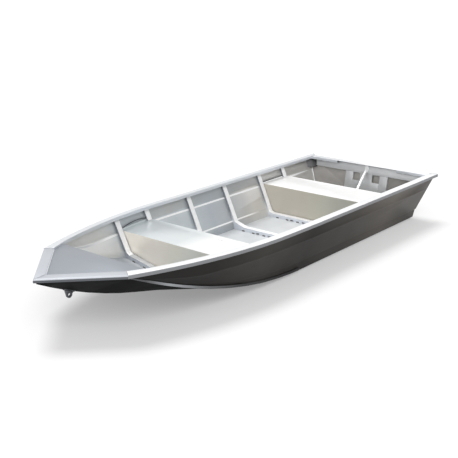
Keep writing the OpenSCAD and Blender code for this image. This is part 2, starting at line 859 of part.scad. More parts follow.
module runner_starboard() {
    runner(-runner_y, rise_start - runner_margin);
}

// Drain bush through the transom
drain_ahead = -transom_t - drain_flange_t - overrun;
module drain_bush() {
    color(steel_c)
        at_stern()
            difference() {
                union() {
                    on_transom(-transom_t, transom_t + drain_flange_t)
                        translate([0, drain_z])
                            circle(drain_r + drain_wall);
                    on_transom(-transom_t - drain_flange_t, drain_flange_t)
                        translate([0, drain_z])
                            circle(drain_r + drain_wall + drain_flange);
                }
                on_transom(drain_ahead, transom_t + drain_flange_t * 2 + overrun * 2)
                    translate([0, drain_z])
                        circle(drain_r);
            }
}

bottom_plate();
side_panel_port();
side_panel_starboard();
transom_plate();
gunwale_port();
gunwale_starboard();
bow_rim_port();
bow_rim_starboard();
bow_coaming_port();
bow_coaming_starboard();
bow_deck();
transom_cap();
chine_strip_port();
chine_strip_starboard();
frame_1();
frame_2();
frame_3();
frame_4();
frame_5();
frame_6();
front_bench();
rear_bench();
transom_posts();
motor_board();
transom_brace();
stern_knee_port();
stern_knee_starboard();
clamp_pad();
bow_eye();
runner_centre();
runner_port();
runner_starboard();
drain_bush();
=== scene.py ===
"""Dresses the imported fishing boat: rounded sheet edges, weld beads, bolts, finishes and a white studio."""

import math

import bmesh
import bpy
from mathutils import Matrix, Vector
from mathutils.bvhtree import BVHTree


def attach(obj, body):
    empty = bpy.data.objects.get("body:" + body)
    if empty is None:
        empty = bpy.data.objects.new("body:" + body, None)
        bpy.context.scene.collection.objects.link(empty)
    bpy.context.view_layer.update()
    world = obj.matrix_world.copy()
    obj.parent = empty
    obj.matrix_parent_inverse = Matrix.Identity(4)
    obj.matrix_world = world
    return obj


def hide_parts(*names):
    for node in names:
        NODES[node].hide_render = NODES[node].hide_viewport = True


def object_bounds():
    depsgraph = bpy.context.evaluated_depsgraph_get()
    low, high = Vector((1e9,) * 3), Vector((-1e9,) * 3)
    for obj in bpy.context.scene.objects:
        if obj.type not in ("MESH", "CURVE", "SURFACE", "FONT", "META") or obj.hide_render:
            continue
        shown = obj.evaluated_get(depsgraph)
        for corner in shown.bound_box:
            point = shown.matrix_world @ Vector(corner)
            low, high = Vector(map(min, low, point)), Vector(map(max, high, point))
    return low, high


bl_info = {
    "name": "Fishing boat looks",
    "version": (1, 0, 0),
    "blender": (4, 5, 0),
    "location": "3D View > Sidebar > Boat",
    "description": "Finishes, weld beads and fastenings of an aluminium fishing boat, and its studio",
    "category": "Object",
}

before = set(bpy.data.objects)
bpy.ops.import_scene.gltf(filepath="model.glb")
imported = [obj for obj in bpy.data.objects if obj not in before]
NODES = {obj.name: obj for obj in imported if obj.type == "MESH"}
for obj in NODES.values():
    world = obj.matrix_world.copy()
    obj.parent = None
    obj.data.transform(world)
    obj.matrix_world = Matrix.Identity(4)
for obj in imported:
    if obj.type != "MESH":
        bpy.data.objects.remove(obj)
CAD_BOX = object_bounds()
BODY = "root"
MM = 0.001

FRAMES = tuple(f"frame_{i}" for i in range(1, 7))
BOW_FRAME = FRAMES[-1]
SIDES = (("port", 1), ("starboard", -1))

# Meshes: points within the gap merge, faces flatter than FLAT_DEG join, folds over SHARP_DEG shade hard
MERGE_GAP = 2e-6
FLAT_DEG = 0.2
SHARP_DEG = 28
# Folds that are rounded, on most pieces and on the pressed sheets, and the steps of the rounding
CORNER_DEG = 50
SHEET_CORNER_DEG = 70
EDGE_SEGMENTS = 2
CROWN_SEGMENTS = 4
# Points this close along an axis lie in one row; lengths this small are rounding; rays start at this height
TOUCH = 1 * MM
ROUNDING = 1e-9
RAY_START_Z = 2.0

# Least part of a face's normal along a direction for a face that is tipped, turned, facing or square that way
TIPPED = 0.1
TURNED = 0.5
FACING = 0.7
SQUARE = 0.9
# Most that a rail's upright faces look up or down
UPRIGHT = 0.4
# Upward parts of the normals on a side sheet's pressed forms
LIT_FLANK = (0.2, 0.9)
SHADED_FLANK = (-0.9, -0.65)
PRESSED = (0.6, 0.9)
CREASE = 0.75
# Where the upper strake starts in height, and the bow frame along the boat
STRAKE_Z = 0.325
BOW_FRAME_X = 0.74

# Welds: the rings of the long beads and of the short stitches, and the steps along them
BEAD = dict(sides=8, ripple=0.15)
STITCH = dict(sides=6, ripple=0.2)
BEAD_STEP = 6 * MM
JOINT_STEP = 5 * MM
STITCH_STEP = 7 * MM
STITCH_LIFT = 2 * MM
STITCH_PLACES = (0.07, 0.205, 0.33, 0.45)
# A rail's end: how far back its corners lie, at the sides and at the bow, their depth, and the share of the
# rail's width that the weld takes
END_REACH = 0.06
BOW_END_REACH = 0.12
END_DEPTH = 6 * MM
END_SHARE = 0.85
# Shortest edge of a rail that gets the large rounding
CROWN_LENGTH = 0.03
# The bow deck's edges lie ahead of this; the transom's corner welds run from low to high, on the port side
DECK_FORE_X = 1.5
CORNER_WELD = ((-1.990, 0.585, 0.10), (-2.040, 0.682, 0.33))

# Benches: the step of the painted shadow line along the flanges, its arch over the front bench's flange,
# and the sides' flare that it follows
FLANGE_SHADOW_STEP = 25 * MM
FLANGE_SHADOW_ARCH = 18 * MM
SIDE_FLARE = 0.43

# Bolts: a washer and a head, each with its sides, and with its radius, bottom and top as shares of the
# washer's radius
BOLT_LAYERS = ((16, 1.0, -0.02, 0.15), (6, 0.72, 0.13, 0.66))
BOLT_EDGE = 0.5 * MM
# Their places: the share of the way from the clamp pad's corners to its middle, and for the bow eye's smaller
# ones the way aside and ahead on its plates, of which the port one looks along the aim
PAD_BOLT_INSET = 0.14
EYE_BOLT_SHARE = 0.65
EYE_BOLT_ASIDE = 13.5 * MM
EYE_BOLT_AHEAD = 34 * MM
EYE_PLATE_AIM = (0.37, 0.43, -0.82)

# Studio: the camera, the floor, the sky as a light and as it is seen, and the lamps by aim, power and
# spread in degrees
CAMERA_PLACE = (5.3321, 4.6227, 2.5939)
CAMERA_AXES = ((-0.65528, 0.75505, -0.02241), (-0.24808, -0.18709, 0.9505), (-0.71348, -0.62841, -0.30991))
SENSOR_MM = 36.0
CLIP_END = 200.0
FLOOR_SIZE = 60.0
FLOOR_GAP = 1 * MM
FLOOR_COLOUR = "#d6d6d6"
FLOOR_GLOW = 0.28
SKY_LIGHT = 0.45
SKY_SEEN = 1.0
WHITE = (1, 1, 1, 1)
LAMPS = (
    ("key_light", (0.15, 0.34, -0.92), 1.5, 24),
    ("fill_light", (-0.4, -0.55, -0.65), 1.0, 36),
    ("bow_light", (-0.95, -0.05, -0.3), 0.65, 60),
)


# Colours and materials

def linear(code):
    """Turns an sRGB hex colour into linear RGB."""
    values = [int(code[i:i + 2], 16) / 255 for i in (1, 3, 5)]
    return [v / 12.92 if v <= 0.04045 else ((v + 0.055) / 1.055) ** 2.4 for v in values]


def add(tree, kind, settings=None, inputs=None, links=None):
    """Adds a node, sets its attributes and socket values, and links sockets to (node, output) pairs."""
    node = tree.nodes.new(kind)
    for key, value in (settings or {}).items():
        setattr(node, key, value)
    for key, value in (inputs or {}).items():
        node.inputs[key].default_value = value
    for key, (source, output) in (links or {}).items():
        tree.links.new(source.outputs[output], node.inputs[key])
    return node


def new_material(name):
    """Makes a material with an empty node tree."""
    material = bpy.data.materials.new(name)
    material.use_nodes = True
    material.node_tree.nodes.clear()
    return material, material.node_tree


def ramp_stops(ramp, stops):
    """Gives a colour ramp its (position, RGB) stops."""
    elements = ramp.color_ramp.elements
    while len(elements) < len(stops):
        elements.new(0.5)
    for element, (position, colour) in zip(elements, stops):
        element.position = position
        element.color = list(colour) + [1.0]


# Grain, drawn coarser than on real sheet so that it shows: how much longer it is than wide, the clouds'
# share beside it, its depth, and the ranges of noise that set tone and gloss
GRAIN_STRETCH = 40.0
CLOUD_SHARE = 0.6
GRAIN_DEPTH = 0.8 * MM
TONE_RANGE = (0.35, 0.65)
GLOSS_RANGE = (0.3, 0.7)
# The mix node's colour sockets by number, because its sockets for numbers have the same names
MIX_A, MIX_B, MIX_RESULT = 6, 7, 2


def grained(name, colour, spread, rough, grain_mm, along, metallic, cloud_mm, tint=None, shades=(),
            bump=0.1, specular=0.5, sheen=0.06):
    """Makes a material with grain along one axis, cloudy tone and a bump that breaks reflections.

    tint is the colour that the clouds lean to; shades are axes with (metres, hex) stops that tone the piece
    along them; sheen is how far the roughness strays with the grain.
    """
    material, tree = new_material(name)
    coords = add(tree, "ShaderNodeTexCoord")
    stretch = [1.0 / (grain_mm * MM)] * 3
    stretch["xyz".index(along)] /= GRAIN_STRETCH
    mapping = add(tree, "ShaderNodeMapping", inputs={"Scale": stretch}, links={"Vector": (coords, "Object")})
    grain = add(tree, "ShaderNodeTexNoise", inputs={"Scale": 1.0, "Detail": 4.0, "Roughness": 0.6},
                links={"Vector": (mapping, "Vector")})
    cloud = add(tree, "ShaderNodeTexNoise", inputs={"Scale": 1.0 / (cloud_mm * MM), "Detail": 2.0},
                links={"Vector": (coords, "Object")})
    blend = add(tree, "ShaderNodeMix", {"data_type": "FLOAT"}, {"Factor": CLOUD_SHARE},
                {"A": (grain, "Fac"), "B": (cloud, "Fac")})
    ramp = add(tree, "ShaderNodeValToRGB", links={"Fac": (blend, "Result")})
    dark = [c * (1.0 - spread) for c in (linear(tint) if tint else colour)]
    light = [min(1.0, c * (1.0 + spread)) for c in colour]
    ramp_stops(ramp, list(zip(TONE_RANGE, (dark, light))))
    tone = (ramp, "Color")
    place = add(tree, "ShaderNodeSeparateXYZ", links={"Vector": (coords, "Object")}) if shades else None
    for axis, stops in shades:
        low, high = stops[0][0], stops[-1][0]
        share = add(tree, "ShaderNodeMapRange", inputs={"From Min": low, "From Max": high},
                    links={"Value": (place, axis)})
        shade = add(tree, "ShaderNodeValToRGB", links={"Fac": (share, "Result")})
        ramp_stops(shade, [((at - low) / (high - low), linear(code)) for at, code in stops])
        product = add(tree, "ShaderNodeMix", {"data_type": "RGBA", "blend_type": "MULTIPLY"}, {"Factor": 1.0},
                      {MIX_A: tone, MIX_B: (shade, "Color")})
        tone = (product, MIX_RESULT)
    gloss = add(tree, "ShaderNodeMapRange",
                inputs={"From Min": GLOSS_RANGE[0], "From Max": GLOSS_RANGE[1],
                        "To Min": rough - sheen, "To Max": rough + sheen},
                links={"Value": (blend, "Result")})
    relief = add(tree, "ShaderNodeBump", inputs={"Strength": bump, "Distance": GRAIN_DEPTH},
                 links={"Height": (grain, "Fac")})
    shader = add(tree, "ShaderNodeBsdfPrincipled",
                 inputs={"Metallic": metallic, "Specular IOR Level": specular},
                 links={"Base Color": tone, "Roughness": (gloss, "Result"), "Normal": (relief, "Normal")})
    add(tree, "ShaderNodeOutputMaterial", links={"Surface": (shader, "BSDF")})
    return material


# Looks that several finishes share
SIDE_SHEET = dict(spread=0.08, rough=0.4, grain_mm=3, along="x", metallic=0.45, cloud_mm=320)
PRESSED_SHEET = dict(spread=0.03, rough=0.4, grain_mm=3, along="x", metallic=0.2, cloud_mm=300)
# Outside the sides: the stops along the boat are painted reflections
OUTSIDE = dict(
    spread=0.07, rough=0.42, grain_mm=3, along="x", metallic=0.3, cloud_mm=420, specular=0.14,
    shades=(("X", ((-2.05, "#c4beb7"), (-1.8, "#c5c0b8"), (-1.4, "#fff8ee"), (-0.8, "#a8a39b"),
                   (-0.15, "#706d69"), (0.45, "#a8a5a0"), (0.95, "#7c7a79"), (1.7, "#686a6b"))),))
# Outer faces of the rails and of the rim, darkened with painted shade
RAIL_EDGE = dict(spread=0.05, rough=0.45, grain_mm=2, metallic=0.3, cloud_mm=500, specular=0.3)
BENCH_SHEET = dict(spread=0.01, grain_mm=30, along="y", cloud_mm=600, bump=0.0, sheen=0.01)
CHANNEL = dict(rough=0.42, grain_mm=2.5, along="z", cloud_mm=200)
PLASTIC = dict(rough=0.55, grain_mm=1.5, along="y", metallic=0.0, cloud_mm=60)

# Each finish: what it gives the eye, its label and colour in the panel, its material's name and its looks
FINISHES = {
    # Mill-finish sheet inside the sides: blue-grey, streaked as it was rolled; painted reflections warm both
    # ends and tone it bay by bay, and painted light lifts it above the bead
    "inner": dict(
        SIDE_SHEET, label="Inner sheet", colour="#e1e4e6", name="mill_finish_aluminium_side",
        shades=(("X", ((-2.0, "#f2ede7"), (-1.1, "#fffaf3"), (-0.97, "#fffaf4"), (-0.85, "#e8e6e3"),
                       (-0.6, "#d1d3d5"), (-0.4, "#cfd4d9"), (-0.17, "#e4e9ec"), (0.6, "#dfe3e6"),
                       (1.0, "#fffdf9"))),
                ("Z", ((0.27, "#f4f4f4"), (0.34, "#ffffff"))))),
    # The upper strake inside: the same sheet with the rail's shade painted in, greyer amidships
    "inner_top": dict(
        SIDE_SHEET, label="Inner sheet, upper strake", colour="#e1e4e6",
        name="mill_finish_aluminium_upper_strake",
        shades=(("X", ((-2.0, "#f2ede7"), (-1.25, "#ece8e3"), (-1.0, "#d8d7d7"), (-0.7, "#d2d4d6"),
                       (-0.4, "#d0d5d9"), (0.1, "#dad9d6"), (0.6, "#dfe3e6"))),)),
    # Pressed beads and steps in the sides: painted highlights on their upward faces, fading along the boat
    "crease": dict(
        PRESSED_SHEET, label="Pressed creases", colour="#fafafa", name="burnished_aluminium_crease",
        shades=(("X", ((0.9, "#ffffff"), (1.15, "#d0d2d4"))),)),
    "step": dict(
        PRESSED_SHEET, label="Pressed steps", colour="#fafafa", name="burnished_aluminium_step",
        shades=(("X", ((-1.05, "#d0cecb"), (-0.9, "#ffffff"))),)),
    # The floor's sheet: pale and matt, scuffed by feet, greyer under the bow
    "floor": dict(
        label="Floor sheet", colour="#d7dadc", name="scuffed_aluminium_floor", spread=0.06, rough=0.48,
        grain_mm=3, along="x", metallic=0.1, cloud_mm=180,
        shades=(("X", ((0.72, "#ffffff"), (0.84, "#b4b8be"))),)),
    # The sides' sheet outside: smooth and dull, kept dark with painted shade, warmer and lighter toward
    # the stern with painted reflections
    "outer": dict(OUTSIDE, label="Outer sheet", colour="#656361", name="dull_aluminium_outside"),
    # The bead's flanks outside: the lower one, which catches the light, is darker with painted shade, and
    # the upper one, in shade, is lighter with painted light
    "outer_lit": dict(
        OUTSIDE, label="Bead, lower flank", colour="#63615f", name="dull_aluminium_bead_lit"),
    "outer_shaded": dict(
        OUTSIDE, label="Bead, upper flank", colour="#706e6b", name="dull_aluminium_bead_shaded"),
    # The underside: the darkest, a flat near-black of painted shade on sheet that only sees the ground
    "under": dict(
        label="Underside", colour="#0d0e0e", name="oxidised_aluminium_underside", spread=0.1, rough=0.7,
        grain_mm=3, along="x", metallic=0.0, cloud_mm=300, specular=0.05),
    # Extruded rails: satin white on top with painted shade toward starboard, scuffed along the crown and
    # darkened there with painted shade, pale on the inner lip, grey outside with painted shade
    "rail": dict(
        label="Rails", colour="#eeeff0", name="satin_extruded_aluminium", spread=0.03, rough=0.4,
        grain_mm=2, along="x", metallic=0.3, cloud_mm=500,
        shades=(("Y", ((-0.4, "#e2e4e6"), (0.0, "#ffffff"))),)),
    "rail_crown": dict(
        label="Rail crowns", colour="#e3e5e8", name="scuffed_extruded_aluminium", spread=0.06, rough=0.45,
        grain_mm=2, along="x", metallic=0.3, cloud_mm=200,
        shades=(("Y", ((-0.4, "#a6aab0"), (0.0, "#ffffff"))),)),
    "rail_lip": dict(
        label="Rail lips", colour="#dadee4", name="satin_extruded_aluminium_lip", spread=0.05, rough=0.42,
        grain_mm=2, along="x", metallic=0.3, cloud_mm=300),
    "rail_side": dict(
        RAIL_EDGE, label="Rail edges", colour="#8c8e91", name="satin_extruded_aluminium_edge", along="x"),
    # Chine strip: a thin edge with a painted highlight near the bow and painted shade aft
    "strip": dict(
        label="Chine strips", colour="#a6a9ad", name="dulled_aluminium_strip", spread=0.1, rough=0.45,
        grain_mm=2, along="x", metallic=0.3, cloud_mm=150, specular=0.3,
        shades=(("X", ((0.1, "#4c4b4a"), (0.6, "#6c6b6a"), (1.0, "#b4b4b3"), (1.3, "#ffffff"),
                       (1.5, "#8c8c8c"))),)),
    # Bow rim: the same rail, a little bluer, with dark grey outer faces of painted shade
    "rim": dict(
        label="Bow rim", colour="#bdc1c7", name="satin_extruded_aluminium_bow", spread=0.04, rough=0.4,
        grain_mm=2, along="y", metallic=0.3, cloud_mm=500),
    "rim_side": dict(
        RAIL_EDGE, label="Bow rim edges", colour="#5f6267", name="satin_extruded_aluminium_bow_edge",
        along="y"),
    # Bow deck: plain rolled plate with a painted blue-grey sheen
    "deck": dict(
        label="Bow deck", colour="#8f949b", name="rolled_aluminium_deck", spread=0.04, rough=0.42,
        grain_mm=3, along="y", metallic=0.4, cloud_mm=400),
    # Bench tops: bright folded sheet; the front one has painted shade, bluer toward its starboard end
    "bench": dict(
        BENCH_SHEET, label="Bench tops", colour="#fbfbfa", name="bright_folded_aluminium", rough=0.35,
        metallic=0.1),
    "front_bench": dict(
        BENCH_SHEET, label="Front bench top", colour="#fbfbfa", name="bright_folded_aluminium_front",
        rough=0.28, metallic=0.35,
        shades=(("Y", ((-0.65, "#d3dadd"), (-0.05, "#dde3e5"), (0.1, "#f8f9f9"), (0.65, "#ffffff"))),)),
    # Bench faces: the same sheet, warmed by clouds of beige, greyer toward port and aft
    "face": dict(
        label="Bench faces", colour="#fefbf6", name="clouded_folded_aluminium", spread=0.05, rough=0.34,
        grain_mm=2.5, along="y", metallic=0.25, cloud_mm=330, tint="#fff9f0", bump=0.01,
        shades=(("X", ((-1.2, "#c7c6c3"), (0.7, "#ffffff"))),
                ("Y", ((-0.6, "#fffcf7"), (-0.25, "#fffaf4"), (0.0, "#f6f5ec"), (0.2, "#e5e5e0"),
                       (0.6, "#d9dad6"))))),
    # Frames: folded channel, bright across its web and bluer on its legs, which painted shade darkens toward
    # the rails
    "frame": dict(
        CHANNEL, label="Frame webs", colour="#fefeff", name="folded_channel_web", spread=0.02, metallic=0.0),
    "frame_leg": dict(
        CHANNEL, label="Frame legs", colour="#dfe3ea", name="folded_channel_leg", spread=0.05, metallic=0.15,
        shades=(("Z", ((0.08, "#ffffff"), (0.2, "#96999e"))),)),
    # The bow frame's foot: the same channel, smudged grey by welding
    "frame_foot": dict(
        label="Bow frame's foot", colour="#c4c6c8", name="smudged_channel_foot", spread=0.14, rough=0.5,
        grain_mm=6, along="y", metallic=0.0, cloud_mm=45),
    # Welds: brushed grey on the rails' joints, heat-tinted and darkened with painted shade at the frames'
    # feet, bright at the corners, and bright at the deck as painted light over the corner's shade
    "joint": dict(
        label="Joint welds", colour="#a2a5a9", name="brushed_joint_weld", spread=0.1, rough=0.4,
        grain_mm=4, along="y", metallic=0.4, cloud_mm=30),
    "weld": dict(
        label="Stitch welds", colour="#55534f", name="heat_tinted_weld", spread=0.25, rough=0.45,
        grain_mm=6, along="y", metallic=0.4, cloud_mm=25),
    "seam": dict(
        label="Ground welds", colour="#eceef0", name="bright_ground_weld", spread=0.08, rough=0.4,
        grain_mm=6, along="z", metallic=0.3, cloud_mm=40),
    # A dull dark line along the benches' flanges: painted shadow of the gap at their tops
    "sealant": dict(
        label="Sealant", colour="#4c4e52", name="grey_sealant", spread=0.15, rough=0.6, grain_mm=6, along="x",
        metallic=0.0, cloud_mm=60),
    # Transom's inner sheet: warm grey, stained, darker to port
    "transom": dict(
        label="Inner transom", colour="#a7a6a5", name="stained_aluminium_transom", spread=0.1, rough=0.45,
        grain_mm=3, along="y", metallic=0.4, cloud_mm=140,
        shades=(("Y", ((-0.6, "#fffcf9"), (0.1, "#f4f1ed"), (0.6, "#bdbcba"))),)),
    # Transom's posts and beam: grey folded plate
    "plate": dict(
        label="Transom plates", colour="#c2c4c6", name="folded_aluminium_plate", spread=0.06, rough=0.42,
        grain_mm=2.5, along="y", metallic=0.35, cloud_mm=150),
    # Moulded plastic: matt black with a fine pebble
    "black": dict(PLASTIC, label="Plastic", colour="#222326", name="moulded_black_plastic", spread=0.18),
    # The knees are the same plastic, dark with the painted shade of the transom's corners, paler toward the
    # sides' legs where that painted shade ends
    "knee": dict(
        PLASTIC, label="Knees", colour="#6c6d6f", name="scuffed_black_plastic", spread=0.12,
        shades=(("X", ((-2.03, "#6a6a6c"), (-1.985, "#ffffff"))),)),
    # Stainless fittings: grey polish with short marks, darkened with painted shade
    "steel": dict(
        label="Steel", colour="#5a5c5f", name="polished_stainless_steel", spread=0.15, rough=0.26,
        grain_mm=1.2, along="x", metallic=1.0, cloud_mm=30),
}


def finish(key):
    """Gives a finish's material, made once in the panel's colour."""
    look = {name: value for name, value in FINISHES[key].items() if name not in ("label", "colour")}
    colour = list(getattr(bpy.context.scene.boat, f"{key}_colour"))
    return bpy.data.materials.get(look["name"]) or grained(colour=colour, **look)


# Pieces

def new_piece(name, shape, finishes, replaces=()):
    """Makes a mesh object of a bmesh, with its finishes, and lets it ride on the boat."""
    mesh = bpy.data.meshes.new(name)
    shape.to_mesh(mesh)
    shape.free()
    for key in finishes:
        mesh.materials.append(finish(key))
    mesh.shade_smooth()
    mesh.set_sharp_from_angle(angle=math.radians(SHARP_DEG))
    piece = bpy.data.objects.new(name, mesh)
    bpy.context.scene.collection.objects.link(piece)
    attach(piece, BODY)
    if replaces:
        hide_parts(*replaces)


def bevel(shape, edges, radius, segments):
    """Rounds edges and gives the faces that this makes."""
    return bmesh.ops.bevel(shape, geom=edges, offset=radius, offset_type="OFFSET", affect="EDGES",
                           segments=segments, profile=0.5, material=-1, clamp_overlap=True)["faces"]


def sharp_edges(shape, corner_deg):
    """Gives the edges where two faces meet at more than an angle."""
    return [e for e in shape.edges
            if len(e.link_faces) == 2 and e.calc_face_angle(0.0) > math.radians(corner_deg)]


def node_points(node):
    """Gives copies of a CAD node's points."""
    return [v.co.copy() for v in NODES[node].data.vertices]


def merged_copy(node):
    """Copies a CAD node as a bmesh whose points are merged and whose flat faces are whole."""
    copy = bmesh.new()
    copy.from_mesh(NODES[node].data)
    bmesh.ops.remove_doubles(copy, verts=copy.verts, dist=MERGE_GAP)
    bmesh.ops.dissolve_limit(copy, angle_limit=math.radians(FLAT_DEG), verts=copy.verts, edges=copy.edges)
    copy.normal_update()
    return copy


def dress(node, finishes, paint=None, radius=None, corner_deg=CORNER_DEG, crown=None):
    """Stands a copy of a CAD node in for it, with eased edges and a finish for each face that paint picks.

    crown is a test of edges, the larger radius that they get first and the finish of the rounding.
    """
    copy = merged_copy(node)
    if paint:
        for face in copy.faces:
            face.material_index = finishes.index(paint(face))
    if crown:
        test, crown_radius, crown_finish = crown
        tops = [e for e in sharp_edges(copy, corner_deg) if test(e)]
        for face in bevel(copy, tops, crown_radius, CROWN_SEGMENTS):
            face.material_index = finishes.index(crown_finish)
        copy.normal_update()
    eased = bpy.context.scene.boat.edge_radius if radius is None else radius
    bevel(copy, sharp_edges(copy, corner_deg), eased, EDGE_SEGMENTS)
    new_piece(f"{node}_looks", copy, finishes, (node,))


def outer_top(edge):
    """Tells whether an edge joins an upper face to one that looks away from the boat's middle."""
    middle = (edge.verts[0].co + edge.verts[1].co) / 2
    ups = [f for f in edge.link_faces if f.normal.z > FACING]
    outs = [f for f in edge.link_faces if abs(f.normal.z) < UPRIGHT and f.normal.xy.dot(middle.xy) > 0.0]
    return bool(ups and outs) and edge.calc_length() > CROWN_LENGTH


def rail_painter(look):
    """Gives a painter that tells a rail's upper faces, inner lip and outer faces apart."""
    def paint(face):
        if face.normal.z > FACING:
            return look
        inward = face.normal.z > -TURNED and face.normal.xy.dot(face.calc_center_median().xy) < 0.0
        # The outer faces take the finish with painted shade
        return "rail_lip" if inward else f"{look}_side"
    return paint


def tube(name, path, radius, key, slot, sides=8, ripple=0.0):
    """Sweeps a ring along a path; ripple is the share by which the ring swells at every other point."""
    shape = bmesh.new()
    places = []
    for i, point in enumerate(path):
        along = path[min(i + 1, len(path) - 1)] - path[max(i - 1, 0)]
        turn = along.to_track_quat("Z", "Y").to_matrix().to_4x4()
        swell = radius * (1.0 + ripple * (i % 2))
        places.append(Matrix.Translation(point) @ turn @ Matrix.Scale(swell, 4))
    bmesh.ops.create_circle(shape, cap_ends=True, radius=1.0, segments=sides, matrix=places[0])
    edges = list(shape.edges)
    for last, place in zip(places, places[1:]):
        made = bmesh.ops.extrude_edge_only(shape, edges=edges)["geom"]
        bmesh.ops.transform(shape, matrix=place @ last.inverted(),
                            verts=[g for g in made if isinstance(g, bmesh.types.BMVert)])
        edges = [g for g in made if isinstance(g, bmesh.types.BMEdge) and len(g.link_faces) == 1]
    bmesh.ops.edgeloop_fill(shape, edges=edges)
    bmesh.ops.recalc_face_normals(shape, faces=shape.faces)
    new_piece(name, shape, (key,))


def resampled(points, step):
    """Spreads points evenly along a polyline, about a step apart."""
    lengths = [(b - a).length for a, b in zip(points, points[1:])]
    count = max(2, round(sum(lengths) / step))
    spots = []
    for i in range(count + 1):
        rest = sum(lengths) * i / count
        for (a, b), length in zip(zip(points, points[1:]), lengths):
            if rest <= length + ROUNDING:
                spots.append(a.lerp(b, rest / length))
                break
            rest -= length
    return spots


def ground(node):
    """Gives a function for the height of a CAD node's upper side at a place, or nan beside it."""
    tree = BVHTree.FromBMesh(merged_copy(node))
    beside = Vector((0, 0, math.nan))
    return lambda x, y: (tree.ray_cast(Vector((x, y, RAY_START_Z)), Vector((0, 0, -1)))[0] or beside).z


def size_property(label, description, size_mm, low_mm, high_mm):
    """Gives a length for the panel, from millimetres."""
    return bpy.props.FloatProperty(name=label, description=description, default=size_mm * MM, min=low_mm * MM,
                                   max=high_mm * MM, unit="LENGTH", precision=4)


class BoatSettings(bpy.types.PropertyGroup):
    """Sizes and colours that a user would change."""
    edge_radius: size_property(
        "Edge radius", "Radius on the sheets' cut edges", 0.9, 0.1, 3)
    rail_radius: size_property(
        "Rail radius", "Radius on the rails' outer top edges", 9, 1, 10)
    weld_radius: size_property(
        "Weld radius", "Radius of the long welds in the corners", 4, 1, 8)
    joint_radius: size_property(
        "Joint weld radius", "Radius of the welds across the rails' joints", 2, 0.5, 5)
    stitch_radius: size_property(
        "Stitch weld radius", "Radius of the stitch welds at the frames' feet", 6, 1, 9)
    bolt_radius: size_property(
        "Bolt radius", "Radius of the washers under the clamp pad's bolts", 9, 3, 15)
    sealant_radius: size_property(
        "Sealant radius", "Radius of the sealant along the benches' flanges", 3.5, 1, 6)
    lens: bpy.props.FloatProperty(
        name="Lens", description="Focal length of the camera", default=69.08, min=10.0, max=300.0,
        unit="CAMERA")


for finish_key, finish_look in FINISHES.items():
    BoatSettings.__annotations__[f"{finish_key}_colour"] = bpy.props.FloatVectorProperty(
        name=finish_look["label"], description=f"Colour of the finish: {finish_look['label'].lower()}",
        subtype="COLOR", size=3, min=0.0, max=1.0, default=linear(finish_look["colour"]))


class BOAT_OT_hull(bpy.types.Operator):
    """Makes the hull's sheets, pale inside and dark outside, with painted shade, light and highlights in
    their finishes
    """
    bl_idname = "boat.hull"
    bl_label = "Hull sheets"

    def execute(self, context):
        side_finishes = ("inner", "inner_top", "crease", "step", "outer", "outer_lit", "outer_shaded")
        for side, sign in SIDES:
            dress(f"side_panel_{side}", side_finishes,
                  lambda face, sign=sign: self.side_finish(face, sign), corner_deg=SHEET_CORNER_DEG)
            # The coamings' outer faces take the underside's painted shade
            dress(f"bow_coaming_{side}", ("under", "rail_lip"),
                  lambda face: "under" if face.normal.z < -TURNED or face.normal.x > TIPPED else "rail_lip")
        dress("bottom_plate", ("floor", "under"),
              lambda face: "floor" if face.normal.z > TIPPED else "under", corner_deg=SHEET_CORNER_DEG)
        dress("transom_plate", ("transom", "outer"),
              lambda face: "outer" if face.normal.x < -TURNED else "transom")
        for place in ("centre", "port", "starboard"):
            dress(f"runner_{place}", ("under",), radius=2 * MM)
        return {"FINISHED"}

    def side_finish(self, face, sign):
        """Picks a side sheet's finish: outside with the bead's flanks, inside with its pressed creases."""
        middle, rise = face.calc_center_median(), face.normal.z
        # Outside, the bead's lower flank gets painted shade and its upper flank painted light
        if face.normal.y * sign > 0.0:
            if LIT_FLANK[0] < rise < LIT_FLANK[1]:
                return "outer_lit"
            return "outer_shaded" if SHADED_FLANK[0] < rise < SHADED_FLANK[1] else "outer"
        behind = middle.x < BOW_FRAME_X
        # Behind the bow frame, the upper strake gets the finish with painted shade
        if rise < PRESSED[0] or rise > PRESSED[1]:
            return "inner_top" if middle.z > STRAKE_Z and behind else "inner"
        # Inside, the creases and the steps get painted highlights
        if rise > CREASE:
            return "crease"
        return "step" if behind else "inner"


